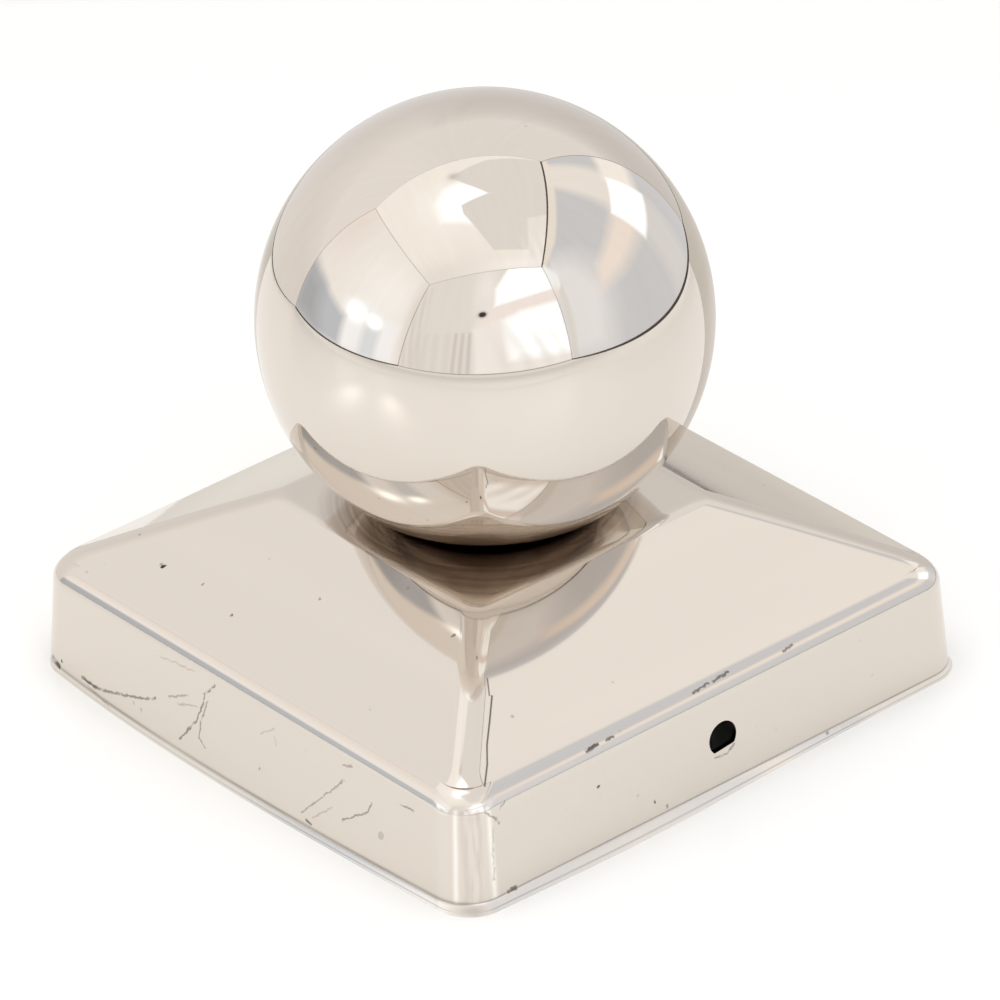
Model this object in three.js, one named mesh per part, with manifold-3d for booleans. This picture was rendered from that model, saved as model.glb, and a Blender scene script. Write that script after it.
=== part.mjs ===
// Ball post cap: a square hood pressed from one stainless sheet, with a polished ball on its flat top.
// Millimetres, +Z up. The origin is the middle of the underside, on the rim that the hood stands on.

import * as THREE from 'three';
import { mergeVertices } from 'three/addons/utils/BufferGeometryUtils.js';
import Module from 'manifold-3d';

// Driving dimensions: the post and the sheet
const POST_WIDTH = 90;              // the square timber post that the hood fits over
const POST_CLEARANCE = 0.2;         // on each side, where the skirt is narrowest, at the eave
const SHEET = 0.8;                  // the stainless sheet

// Driving dimensions: the skirt, from the rim up to the eave fold
const EAVE_HEIGHT = 16;             // the sharp eave line above the rim
const SKIRT_SPREAD = 0.9;           // how much further out the skirt is at the lip than at the eave
const SKIRT_CORNER_RADIUS = 6;
const SKIRT_BOW = 1.5;              // how far the foot of a side without a hole bows out in its middle
const LIP_RISE = 1.2;               // the out-turned lip's height
const LIP_FLARE_MIDDLE = 2.1;       // how far the lip turns out in the middle of a side with a hole
const LIP_FLARE_CORNER = 0.6;       // and at the corners and on the other two sides

// Driving dimensions: the roof
const ROOF_RISE = 11.8;             // from the sharp eave line up to the flat top
const PLATEAU_WIDTH = 43.9;         // the flat top, square
const EAVE_RADIUS = 1.8;
const EAVE_CORNER_RADIUS = 5.4;     // of the roof's corners in plan, where the roof begins
const HIP_RADIUS = 3;               // and from HIP_START on
const HIP_START = 0.2;              // as a share of the roof's rise
const PLATEAU_EDGE_RADIUS = 2;

// Driving dimensions: the screw holes and the ball
const HOLE_DIAMETER = 5;
const HOLE_HEIGHT = 8.2;            // the hole's centre above the rim
const HOLE_OFFSET = 1;              // and to the +Y side of the middle
const BALL_DIAMETER = 64;
const BALL_FLAT_RADIUS = 14.7;      // of the circle in which the ball meets the flat top
const SEAT_GAP = 0.1;               // the weld seam between ball and hood

// How finely the curves are divided
const SIDE_STEPS = 10;
const CORNER_STEPS = 6;
const FOLD_STEPS = 4;
const HOLE_STEPS = 24;
const BALL_ROUND_STEPS = 56;
const BALL_HEIGHT_STEPS = 26;

const eaveHalf = POST_WIDTH / 2 + POST_CLEARANCE + SHEET;
const skirtHalf = eaveHalf + SKIRT_SPREAD;
const plateauHalf = PLATEAU_WIDTH / 2;
const plateauHeight = EAVE_HEIGHT + ROOF_RISE;

// The middle profile of a side, half width against height, with its folds still sharp
const lipPoint = new THREE.Vector2(skirtHalf, LIP_RISE);
const eavePoint = new THREE.Vector2(eaveHalf, EAVE_HEIGHT);
const plateauPoint = new THREE.Vector2(plateauHalf, plateauHeight);
const topPoint = new THREE.Vector2(0, plateauHeight);

// A round fold at point b, between the straight runs a-b and b-c: its places and outward normals
function fold(a, b, c, radius, cornerFrom, cornerTo) {
  const into = b.clone().sub(a).normalize();
  const away = c.clone().sub(b).normalize();
  const turn = Math.acos(into.dot(away));
  const reach = radius * Math.tan(turn / 2);
  const start = b.clone().addScaledVector(into, -reach);
  const normal = new THREE.Vector2(into.y, -into.x);
  const centre = start.clone().addScaledVector(normal, -radius);
  const steps = [];
  for (let i = 0; i <= FOLD_STEPS; i++) {
    const share = i / FOLD_STEPS;
    const direction = normal.clone().rotateAround(new THREE.Vector2(), turn * share);
    steps.push({
      place: centre.clone().addScaledVector(direction, radius),
      normal: direction,
      corner: THREE.MathUtils.lerp(cornerFrom, cornerTo, share),
    });
  }
  return steps;
}

// The square's outline in plan: for each step, which side or corner it is on and how far along
function planSteps() {
  const steps = [];
  for (let quarter = 0; quarter < 4; quarter++) {
    for (let i = 0; i < SIDE_STEPS; i++) {
      steps.push({ quarter, along: (2 * i) / SIDE_STEPS - 1, turn: 0 });
    }
    for (let i = 0; i < CORNER_STEPS; i++) {
      steps.push({ quarter, along: 1, turn: (i / CORNER_STEPS) * (Math.PI / 2) });
    }
  }
  return steps;
}

// One step of the outline, for a half width and a corner radius
function planPoint(step, half, corner) {
  const straight = half - corner;
  const x = straight + corner * Math.cos(step.turn);
  const y = straight * step.along + corner * Math.sin(step.turn);
  return new THREE.Vector2(x, y).rotateAround(new THREE.Vector2(), (step.quarter * Math.PI) / 2);
}

// The swell of a side between its corners: 0 at them and 1 in the middle
function swell(step, holedSide) {
  const isHoled = step.quarter % 2 === 0;
  return isHoled === holedSide ? 1 - step.along ** 2 : 0;
}

function skirtFoot(step) {
  return skirtHalf + SKIRT_BOW * swell(step, false);
}

function lipFlare(step) {
  return LIP_FLARE_CORNER + (LIP_FLARE_MIDDLE - LIP_FLARE_CORNER) * swell(step, true);
}

// A slanted sheet is thicker when it is cut level than when it is cut square
function lipThickness(step) {
  return SHEET * Math.hypot(1, lipFlare(step) / LIP_RISE);
}

// Rings of the skin from the rim up, each a function from a step of the outline to a point
function skinRings(inside) {
  const depth = inside ? SHEET : 0;
  const rings = [];
  const addRing = (half, corner, height) => rings.push((step) => {
    const plan = planPoint(step, half, Math.max(corner, 0.2));
    return new THREE.Vector3(plan.x, plan.y, height);
  });

  rings.push((step) => {
    const half = skirtFoot(step) + lipFlare(step) - (inside ? lipThickness(step) : 0);
    const plan = planPoint(step, half, SKIRT_CORNER_RADIUS - depth);
    return new THREE.Vector3(plan.x, plan.y, 0);
  });
  rings.push((step) => {
    const lower = inside ? ((lipThickness(step) - SHEET) * LIP_RISE) / lipFlare(step) : 0;
    const plan = planPoint(step, skirtFoot(step) - depth, SKIRT_CORNER_RADIUS - depth);
    return new THREE.Vector3(plan.x, plan.y, LIP_RISE - lower);
  });

  const eave = fold(lipPoint, eavePoint, plateauPoint, EAVE_RADIUS, SKIRT_CORNER_RADIUS, EAVE_CORNER_RADIUS);
  const plateauEdge = fold(eavePoint, plateauPoint, topPoint, PLATEAU_EDGE_RADIUS, HIP_RADIUS, HIP_RADIUS);
  const roofStart = eave.at(-1);
  const hipStart = {
    place: roofStart.place.clone().lerp(plateauEdge[0].place, HIP_START),
    normal: roofStart.normal,
    corner: HIP_RADIUS,
  };
  for (const { place, normal, corner } of [...eave, hipStart, ...plateauEdge]) {
    addRing(place.x - depth * normal.x, corner - depth * normal.x, place.y - depth * normal.y);
  }
  return rings;
}

// The hood's closed skin: up the outside, over the top, and down the inside to the rim again
function hoodGeometry() {
  const steps = planSteps();
  const count = steps.length;
  const positions = [];
  const indices = [];
  const outside = skinRings(false);
  const inside = skinRings(true);
  for (const ring of [...outside, ...inside]) {
    for (const step of steps) {
      positions.push(...ring(step).toArray());
    }
  }
  const outsideTop = positions.length / 3;
  const insideTop = outsideTop + 1;
  positions.push(0, 0, plateauHeight, 0, 0, plateauHeight - SHEET);

  const band = (lower, upper, flip) => {
    for (let i = 0; i < count; i++) {
      const next = (i + 1) % count;
      const [a, b, c, d] = [lower + i, lower + next, upper + next, upper + i];
      indices.push(...(flip ? [a, c, b, a, d, c] : [a, b, c, a, c, d]));
    }
  };
  for (let ring = 0; ring + 1 < outside.length; ring++) {
    band(ring * count, (ring + 1) * count, false);
  }
  const insideStart = outside.length * count;
  for (let ring = 0; ring + 1 < inside.length; ring++) {
    band(insideStart + ring * count, insideStart + (ring + 1) * count, true);
  }
  band(0, insideStart, true);
  const lastOutside = (outside.length - 1) * count;
  const lastInside = insideStart + (inside.length - 1) * count;
  for (let i = 0; i < count; i++) {
    const next = (i + 1) % count;
    indices.push(lastOutside + i, lastOutside + next, outsideTop);
    indices.push(lastInside + next, lastInside + i, insideTop);
  }

  const geometry = new THREE.BufferGeometry();
  geometry.setAttribute('position', new THREE.Float32BufferAttribute(positions, 3));
  geometry.setIndex(indices);
  return geometry;
}

// A bar through both walls, lying along X at the height of the screw holes
function holeBarGeometry() {
  const length = 2 * (skirtHalf + LIP_FLARE_MIDDLE) + 10;
  const bar = new THREE.CylinderGeometry(HOLE_DIAMETER / 2, HOLE_DIAMETER / 2, length, HOLE_STEPS);
  bar.rotateZ(Math.PI / 2);
  bar.translate(0, HOLE_OFFSET, HOLE_HEIGHT);
  return bar;
}

const wasm = await Module();
wasm.setup();

function toSolid(geometry) {
  const bare = geometry.clone();
  bare.deleteAttribute('normal');
  bare.deleteAttribute('uv');
  const merged = mergeVertices(bare, 1e-4);
  return new wasm.Manifold(new wasm.Mesh({
    numProp: 3,
    vertProperties: merged.attributes.position.array,
    triVerts: new Uint32Array(merged.index.array),
  }));
}

function toGeometry(solid) {
  const mesh = solid.getMesh();
  const geometry = new THREE.BufferGeometry();
  geometry.setAttribute('position', new THREE.Float32BufferAttribute(mesh.vertProperties, 3));
  geometry.setIndex(new THREE.Uint32BufferAttribute(mesh.triVerts, 1));
  geometry.computeVertexNormals();
  return geometry;
}

// The ball, closed flat where it stands on the hood
function ballGeometry() {
  const radius = BALL_DIAMETER / 2;
  const centreHeight = Math.sqrt(radius ** 2 - BALL_FLAT_RADIUS ** 2);
  const lowest = -Math.asin(centreHeight / radius);
  const profile = [new THREE.Vector2(0, 0)];
  for (let i = 0; i < BALL_HEIGHT_STEPS; i++) {
    const angle = THREE.MathUtils.lerp(lowest, Math.PI / 2, i / BALL_HEIGHT_STEPS);
    profile.push(new THREE.Vector2(radius * Math.cos(angle), centreHeight + radius * Math.sin(angle)));
  }
  profile.push(new THREE.Vector2(0, centreHeight + radius));
  const ball = new THREE.LatheGeometry(profile, BALL_ROUND_STEPS);
  ball.rotateX(Math.PI / 2);
  ball.deleteAttribute('normal');
  ball.deleteAttribute('uv');
  return mergeVertices(ball, 1e-4);
}

function hood() {
  const solid = toSolid(hoodGeometry()).subtract(toSolid(holeBarGeometry()));
  const steel = new THREE.MeshStandardMaterial({ color: 0xd9d2c8, metalness: 1, roughness: 0.08 });
  const mesh = new THREE.Mesh(toGeometry(solid), steel);
  mesh.name = 'hood';
  return mesh;
}

function ball() {
  const polished = new THREE.MeshStandardMaterial({ color: 0xded8d0, metalness: 1, roughness: 0.03 });
  const mesh = new THREE.Mesh(ballGeometry(), polished);
  mesh.name = 'ball';
  mesh.position.z = plateauHeight + SEAT_GAP;
  return mesh;
}

const postCap = new THREE.Group();
postCap.add(hood(), ball());

export default postCap;
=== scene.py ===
# %% [markdown]
# # A polished ball post cap
# The object is a square hood, pressed from thin stainless sheet to cover the end of a timber post, with a
# hollow steel ball on its flat top. Almost nothing of it has a colour of its own: what the eye sees is the
# studio around it, bent by folds and rounded by the ball. So this lesson spends its care on three things:
# surfaces that are smooth enough to be mirrors, a studio tent worth mirroring, and the small wear that
# says the sheet is real.

import math

import bpy
import numpy as np
from mathutils import Matrix, Vector


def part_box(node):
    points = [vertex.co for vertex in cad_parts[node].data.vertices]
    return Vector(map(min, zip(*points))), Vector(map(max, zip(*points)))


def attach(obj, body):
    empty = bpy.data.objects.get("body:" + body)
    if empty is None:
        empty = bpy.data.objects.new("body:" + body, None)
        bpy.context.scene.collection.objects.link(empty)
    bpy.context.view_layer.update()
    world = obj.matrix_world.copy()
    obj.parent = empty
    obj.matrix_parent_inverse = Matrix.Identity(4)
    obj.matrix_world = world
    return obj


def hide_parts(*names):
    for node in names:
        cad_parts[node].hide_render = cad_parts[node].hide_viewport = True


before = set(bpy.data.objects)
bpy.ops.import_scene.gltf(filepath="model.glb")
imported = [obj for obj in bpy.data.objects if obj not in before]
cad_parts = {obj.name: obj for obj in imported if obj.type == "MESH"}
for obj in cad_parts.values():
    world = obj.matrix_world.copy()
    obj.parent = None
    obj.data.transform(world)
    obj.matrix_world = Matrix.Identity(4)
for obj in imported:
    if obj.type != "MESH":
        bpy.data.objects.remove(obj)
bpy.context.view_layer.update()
hood_low, hood_high = (np.array(corner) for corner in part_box("hood"))
ball_low, ball_high = (np.array(corner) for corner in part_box("ball"))

# %% [markdown]
# ## The sizes
# The heights of the flat top and of the ball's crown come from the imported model, so the pieces stay where it
# puts them. The folds, radii and the lip are the sheet's own sizes, in metres.

# %% Sizes of the hood and the ball
MM = 0.001
PLATEAU_HEIGHT = hood_high[2]
BALL_TOP = ball_high[2]
BALL_RADIUS = 32.0 * MM
BALL_CENTRE = np.array([0.0, 0.0, BALL_TOP - BALL_RADIUS])
SHEET = 0.8 * MM
EAVE_HEIGHT = 16.0 * MM
EAVE_HALF = 46.0 * MM
SKIRT_SPREAD = 0.9 * MM
SKIRT_HALF = EAVE_HALF + SKIRT_SPREAD
PLATEAU_HALF = 21.95 * MM
SKIRT_CORNER = 6.0 * MM
EAVE_CORNER = 5.4 * MM
ROOF_CORNER = 3.0 * MM
HIP_START = 0.2
ROOF_CROWN = 0.17 * MM
EAVE_FOLD = 4.2 * MM
EAVE_FOLD_HASTE = 1.5
PLATEAU_FOLD = 2.4 * MM
PLATEAU_FOLD_HASTE = 2.0
LIP_RISE = 1.2 * MM
LIP_STARTS = np.array([1.3, 0.6, 0.6, 0.1]) * MM
LIP_ENDS = np.array([0.2, 0.6, 0.1, 0.75]) * MM
LIP_BULGE = np.array([1.25, 0.0, 1.25, 0.0]) * MM
LIP_BULGE_AT = -0.5
LIP_BULGE_WIDTH = 0.8
SKIRT_BOW = np.array([0.0, 1.45, 0.0, 1.6]) * MM
SKIRT_BOW_LEAN = 0.25
SKIRT_BOW_POWER = 1.3
HOLE_RADIUS = 2.5 * MM
HOLE_HEIGHT = 8.2 * MM
HOLE_OFFSET = 1.0 * MM
HOLE_BURR = 0.7 * MM
HOLE_BURR_TILT = 0.1
print("flat top at", round(PLATEAU_HEIGHT / MM, 2), "mm, ball's crown at", round(BALL_TOP / MM, 2), "mm")

# %% [markdown]
# ## The camera
# The view looks down on the hood's front corner from about 30 degrees, through a long lens from more than
# a metre away, so the far sides are hardly smaller than the near ones. The object leans a little to the
# left in the picture, by a small roll of the camera. The axes become the columns of the camera's matrix.

# %% Camera
CAMERA_AZIMUTH = math.radians(50.05)
CAMERA_ELEVATION = math.radians(30.74)
CAMERA_ROLL = math.radians(2.16)
CAMERA_DISTANCE = 1.196
LENS_MM = 307.1
AIM_HEIGHT = 29.17 * MM
AIM_RIGHT = 1.14 * MM
AIM_UP = -2.0 * MM

camera_back = Vector((
    math.sin(CAMERA_AZIMUTH) * math.cos(CAMERA_ELEVATION),
    -math.cos(CAMERA_AZIMUTH) * math.cos(CAMERA_ELEVATION),
    math.sin(CAMERA_ELEVATION),
))
camera_right = Vector((math.cos(CAMERA_AZIMUTH), math.sin(CAMERA_AZIMUTH), 0.0))
camera_up = camera_back.cross(camera_right)
aim = Vector((0, 0, AIM_HEIGHT)) + AIM_RIGHT * camera_right + AIM_UP * camera_up

lens = bpy.data.cameras.new("camera")
lens.sensor_width = 36.0
lens.lens = LENS_MM
lens.clip_start = 0.01
lens.clip_end = 20.0
camera = bpy.data.objects.new("camera", lens)
bpy.context.scene.collection.objects.link(camera)
rolled_right = math.cos(CAMERA_ROLL) * camera_right - math.sin(CAMERA_ROLL) * camera_up
rolled_up = math.sin(CAMERA_ROLL) * camera_right + math.cos(CAMERA_ROLL) * camera_up
camera_matrix = Matrix((rolled_right, rolled_up, camera_back)).transposed().to_4x4()
camera_matrix.translation = aim + CAMERA_DISTANCE * camera_back
camera.matrix_world = camera_matrix
bpy.context.scene.camera = camera
print("camera at", [round(value, 3) for value in camera_matrix.translation])

# %% [markdown]
# ## Meshes from grids
# Every surface here is a grid of points worked out as whole numpy arrays: rows run along a profile, and
# columns run around the object. One helper gives the four-sided faces between the rows, and one puts
# points and faces into a mesh. Sharp edges are marked by angle, so that the folds stay smooth and the cut
# edges stay crisp.

# %% Helpers for grids and meshes
SHARP_ANGLE = math.radians(40)


def grid_faces(rows, columns, first=0, around=True):
    """Faces between the rows of a grid. Face (r, c) joins points c and c + 1 of rows r and r + 1."""
    row, column = np.meshgrid(np.arange(rows - 1), np.arange(columns - (not around)), indexing="ij")
    beside = (column + 1) % columns
    low = first + row * columns
    high = low + columns
    return np.stack([low + column, low + beside, high + beside, high + column], axis=-1).reshape(-1, 4)


def mesh_object(name, points, faces, smooth=True):
    """An object at the origin from points and lists of faces."""
    mesh = bpy.data.meshes.new(name)
    mesh.from_pydata(np.asarray(points, float), [], [list(map(int, face)) for part in faces for face in part])
    mesh.validate()
    if smooth:
        mesh.shade_smooth()
        mesh.set_sharp_from_angle(angle=SHARP_ANGLE)
    else:
        mesh.shade_flat()
    made = bpy.data.objects.new(name, mesh)
    bpy.context.scene.collection.objects.link(made)
    return made


# %% [markdown]
# ## The hood's profile
# A pressed sheet has a profile: up the lip, up the skirt, round the eave, up the roof, round the edge of the
# flat top. A press bends the sheet hard along one line and lets it spring back beyond it, so each fold turns
# at once on its lower side and then dies out softly. The roof is not quite flat either, but a little crowned.
# Rows are crowded around the folds, because a mirror shows the slightest turn of its surface.

# %% Rows of the profile
FOLD_ROWS = 22
RUN_ROWS = 22
LIP_ROWS = 12
LIP_CREASE = 0.12


def eased(count):
    """Numbers from 0 to 1, crowded at both ends: half a cosine wave."""
    return (1 - np.cos(np.linspace(0, math.pi, count))) / 2


def unit(vector):
    return vector / np.linalg.norm(vector)


def turned(direction, angle):
    """A direction turned counter-clockwise."""
    cosine, sine = math.cos(angle), math.sin(angle)
    x, y = direction
    return np.array([cosine * x - sine * y, sine * x + cosine * y])


def outward(directions):
    """The sheet's outward normals: its directions turned clockwise by a quarter."""
    return np.stack([directions[:, 1], -directions[:, 0]], axis=-1)


def fold_rows(into, at, away, length, haste):
    """A fold at the point where two runs would meet: places and outward normals.
    After a share x of its length the sheet has turned by 1 - (1 - x)^haste of the whole. The places are the
    running sum of the directions, slid until the first lies on the run into the fold and the last on the
    run away from it, which is a system of two equations."""
    share = eased(FOLD_ROWS)
    angle = math.acos(float(into @ away)) * (1 - (1 - share) ** haste)
    side = np.array([-into[1], into[0]])
    directions = np.outer(np.cos(angle), into) + np.outer(np.sin(angle), side)
    steps = (directions[1:] + directions[:-1]) / 2 * np.diff(share)[:, None] * length
    places = np.concatenate([[[0.0, 0.0]], np.cumsum(steps, axis=0)])
    before, after = np.linalg.solve(np.stack([into, away], axis=1), places[-1])
    return at - before * into + places, outward(directions)


def run_rows(start, end, leave, arrive):
    """A run between two folds, without its ends: a cubic curve with given directions at both ends."""
    t = eased(RUN_ROWS)[1:-1, None]
    reach = np.linalg.norm(end - start)
    places = (
        (2 * t**3 - 3 * t**2 + 1) * start + (t**3 - 2 * t**2 + t) * reach * leave
        + (3 * t**2 - 2 * t**3) * end + (t**3 - t**2) * reach * arrive
    )
    directions = (
        6 * (t**2 - t) * (start - end)
        + (3 * t**2 - 4 * t + 1) * reach * leave + (3 * t**2 - 2 * t) * reach * arrive
    )
    return places, outward(directions / np.linalg.norm(directions, axis=1, keepdims=True))


lip_point = np.array([SKIRT_HALF, LIP_RISE])
eave_point = np.array([EAVE_HALF, EAVE_HEIGHT])
plateau_point = np.array([PLATEAU_HALF, PLATEAU_HEIGHT])
top_point = np.array([0.0, PLATEAU_HEIGHT])
level = np.array([-1.0, 0.0])
skirt_way = unit(eave_point - lip_point)
roof_way = unit(plateau_point - eave_point)
crown_turn = 4 * ROOF_CROWN / np.linalg.norm(plateau_point - eave_point)
roof_leave = turned(roof_way, -crown_turn)
roof_arrive = turned(roof_way, crown_turn)
eave_places, eave_normals = fold_rows(skirt_way, eave_point, roof_leave, EAVE_FOLD, EAVE_FOLD_HASTE)
edge_places, edge_normals = fold_rows(roof_arrive, plateau_point, level, PLATEAU_FOLD, PLATEAU_FOLD_HASTE)
skirt_places, skirt_normals = run_rows(lip_point, eave_places[0], skirt_way, skirt_way)
roof_places, roof_normals = run_rows(eave_places[-1], edge_places[0], roof_leave, roof_arrive)
top_places, top_normals = run_rows(edge_places[-1], top_point, level, level)
roof_slope = math.degrees(math.atan2(roof_way[1], -roof_way[0]))
print("the roof rises at", round(roof_slope, 1), "degrees")

profile = np.concatenate([skirt_places, eave_places, roof_places, edge_places, top_places])
profile_normals = np.concatenate([skirt_normals, eave_normals, roof_normals, edge_normals, top_normals])
roof_share = (roof_places[:, 1] - EAVE_HEIGHT) / (PLATEAU_HEIGHT - EAVE_HEIGHT)
hip_left = np.clip(1 - roof_share / HIP_START, 0, 1)
profile_corners = np.concatenate([
    np.full(len(skirt_places), SKIRT_CORNER),
    SKIRT_CORNER + (EAVE_CORNER - SKIRT_CORNER) * np.linspace(0, 1, FOLD_ROWS),
    ROOF_CORNER + (EAVE_CORNER - ROOF_CORNER) * hip_left**2 * (3 - 2 * hip_left),
    np.full(len(edge_places) + len(top_places), ROOF_CORNER),
])

# %% [markdown]
# ## The hood's outline
# Seen from above each row is a square with round corners. The outline is walked as four equal quarters,
# each a straight side and then a corner, and turned into place by a quarter turn at a time. At the rim the
# lip turns out, most in the middle of the sides with the screw holes. The other two sides bow out there.

# %% Steps of the outline
SIDE_STEPS = 48
CORNER_STEPS = 20

side_along = np.sin(np.linspace(-math.pi / 2, math.pi / 2, SIDE_STEPS, endpoint=False))
corner_turn = np.linspace(0, math.pi / 2, CORNER_STEPS, endpoint=False)
quarter_along = np.concatenate([side_along, np.ones(CORNER_STEPS)])
quarter_turn = np.concatenate([np.zeros(SIDE_STEPS), corner_turn])
step_along = np.tile(quarter_along, 4)
step_turn = np.tile(quarter_turn, 4)
step_quarter = np.repeat(np.arange(4), SIDE_STEPS + CORNER_STEPS) * (math.pi / 2)
STEPS = len(step_along)


def plan_points(half, corner, height):
    """Points of the rounded square. half, corner and height are a column of rows, or rows by steps.
    Straight part: half - corner out, and as far along. Corner: an arc of the corner's radius."""
    straight = half - corner
    x = straight + corner * np.cos(step_turn)
    y = straight * step_along + corner * np.sin(step_turn)
    turned_x = x * np.cos(step_quarter) - y * np.sin(step_quarter)
    turned_y = x * np.sin(step_quarter) + y * np.cos(step_quarter)
    return np.stack([turned_x, turned_y, np.broadcast_to(height, turned_x.shape)], axis=-1)


def per_quarter(values):
    """One value for each quarter, repeated for all of its steps."""
    return np.repeat(values, SIDE_STEPS + CORNER_STEPS)


def lip_flares():
    """How far the lip turns out: evenly along a side and on round the corner, and a bulge in between.
    Bulge: (1 - a^2) times a bell around its place, where a runs from -1 to 1 along the side."""
    along = (step_along + 1) / 2
    around = step_turn / (math.pi / 2)
    even = per_quarter(LIP_STARTS) * (1 - along) + per_quarter(LIP_ENDS) * along
    even += (per_quarter(np.roll(LIP_STARTS, -1)) - per_quarter(LIP_ENDS)) * around
    off = (step_along - LIP_BULGE_AT) / LIP_BULGE_WIDTH
    return even + per_quarter(LIP_BULGE) * (1 - step_along**2) * np.exp(-(off**2))


lip_flare = lip_flares()
foot_bow = per_quarter(SKIRT_BOW) * (1 - step_along**2) * (1 - SKIRT_BOW_LEAN * step_along)


def skin(depth):
    """The sheet's outside (depth 0) or inside (depth of one sheet), as rows by steps of points.
    The lip leaves the skirt along a hyperbola, which is a straight flare with a soft crease. Two of the sides
    bow out towards their foot: the bow grows as a power of the way down."""
    share = np.linspace(1, 0, LIP_ROWS)[:, None]
    root = np.sqrt(share**2 + LIP_CREASE**2)
    scale = math.sqrt(1 + LIP_CREASE**2) - LIP_CREASE
    flare = lip_flare * (root - LIP_CREASE) / scale
    slope = lip_flare * share / (root * scale * LIP_RISE)
    lip_half = SKIRT_HALF + foot_bow + flare - depth * np.sqrt(1 + slope**2)
    lip = plan_points(lip_half, SKIRT_CORNER - depth, LIP_RISE * (1 - share))
    places = profile - depth * profile_normals
    corners = np.minimum(profile_corners - depth * profile_normals[:, 0], places[:, 0])
    fold_start = eave_places[0, 1]
    down = np.clip((fold_start - profile[:, 1:]) / (fold_start - LIP_RISE), 0, 1) ** SKIRT_BOW_POWER
    rest = plan_points(places[:, :1] + foot_bow * down, corners[:, None], places[:, 1:])
    return np.concatenate([lip, rest])


outside = skin(0.0)
inside = skin(SHEET)
print("hood skins:", outside.shape[0], "rows by", STEPS, "steps, twice")

# %% [markdown]
# ## Closing the shell and drilling it
# The two skins are joined across the rim, which is cut level, and each closes at the middle of the flat top.
# The screw holes go through two opposite sides. A Boolean modifier drills them and is then applied. The drill
# has left a burr across the lowest part of the hole, so the bar is cut flat there.

# %% Make the hood
HOLE_SIDES = 64


def fan_faces(ring_first, centre, upwards):
    """Triangles from the last ring of a skin to its middle point."""
    here = ring_first + np.arange(STEPS)
    beside = ring_first + (np.arange(STEPS) + 1) % STEPS
    middle = np.full(STEPS, centre)
    return np.stack([here, beside, middle] if upwards else [beside, here, middle], axis=-1)


rows = len(outside)
hood_points = np.concatenate([
    outside.reshape(-1, 3),
    inside.reshape(-1, 3),
    [[0, 0, PLATEAU_HEIGHT], [0, 0, PLATEAU_HEIGHT - SHEET]],
])
inside_first = rows * STEPS
outside_middle = 2 * rows * STEPS
rim_from = np.arange(STEPS)
rim_to = (rim_from + 1) % STEPS
rim_faces = np.stack([rim_from, inside_first + rim_from, inside_first + rim_to, rim_to], axis=-1)
hood = mesh_object("pressed_hood", hood_points, [
    grid_faces(rows, STEPS),
    grid_faces(rows, STEPS, first=inside_first)[:, ::-1],
    rim_faces,
    fan_faces((rows - 1) * STEPS, outside_middle, True),
    fan_faces(inside_first + (rows - 1) * STEPS, outside_middle + 1, False),
])
is_inside = np.zeros(len(hood_points), dtype=np.float32)
is_inside[inside_first:outside_middle] = 1.0
is_inside[outside_middle + 1] = 1.0
hood.data.attributes.new("inside", "FLOAT", "POINT").data.foreach_set("value", is_inside)


def drill_bar():
    """A closed round bar along X, through both walls: a circle at each end, joined."""
    angle = np.linspace(0, 2 * math.pi, HOLE_SIDES, endpoint=False)
    y = HOLE_OFFSET + HOLE_RADIUS * np.cos(angle)
    z = HOLE_HEIGHT + np.maximum(HOLE_RADIUS * np.sin(angle), HOLE_BURR - HOLE_RADIUS + HOLE_BURR_TILT * y)
    reach = 1.3 * SKIRT_HALF
    ends = [np.stack([np.full(HOLE_SIDES, x), y, z], axis=-1) for x in (-reach, reach)]
    caps = [[np.arange(HOLE_SIDES)[::-1]], [np.arange(HOLE_SIDES) + HOLE_SIDES]]
    return mesh_object("drill_bar", np.concatenate(ends), [grid_faces(2, HOLE_SIDES), *caps])


def apply_modifiers(piece):
    """Bakes a piece's modifiers into its mesh."""
    evaluated = piece.evaluated_get(bpy.context.evaluated_depsgraph_get())
    baked = bpy.data.meshes.new_from_object(evaluated)
    piece.modifiers.clear()
    piece.data = baked
    baked.set_sharp_from_angle(angle=SHARP_ANGLE)


bar = drill_bar()
cut = hood.modifiers.new("screw holes", "BOOLEAN")
cut.operation = "DIFFERENCE"
cut.solver = "EXACT"
cut.object = bar
apply_modifiers(hood)
bpy.data.objects.remove(bar)
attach(hood, "root")
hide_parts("hood")
print("hood:", len(hood.data.polygons), "faces,", "inside" in hood.data.attributes)

# %% [markdown]
# ## The ball
# A sphere of latitude and longitude, cut off and closed flat where it stands on the hood. It meets the flat
# top in a circle about half its own width, as the ball's mirror image there shows.

# %% Make the ball
BALL_ROWS = 150
BALL_COLUMNS = 240
SEAT_GAP = 0.02 * MM


def ball_points():
    """Point (latitude, longitude) of the sphere, from the seat's level to just below the crown."""
    seat = PLATEAU_HEIGHT + SEAT_GAP - BALL_CENTRE[2]
    latitude = np.linspace(math.asin(seat / BALL_RADIUS), math.pi / 2, BALL_ROWS, endpoint=False)[:, None]
    longitude = np.linspace(0, 2 * math.pi, BALL_COLUMNS, endpoint=False)[None, :]
    x = np.cos(latitude) * np.cos(longitude)
    y = np.cos(latitude) * np.sin(longitude)
    z = np.sin(latitude) + 0 * longitude
    return BALL_CENTRE + BALL_RADIUS * np.stack([x, y, z], axis=-1)


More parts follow.
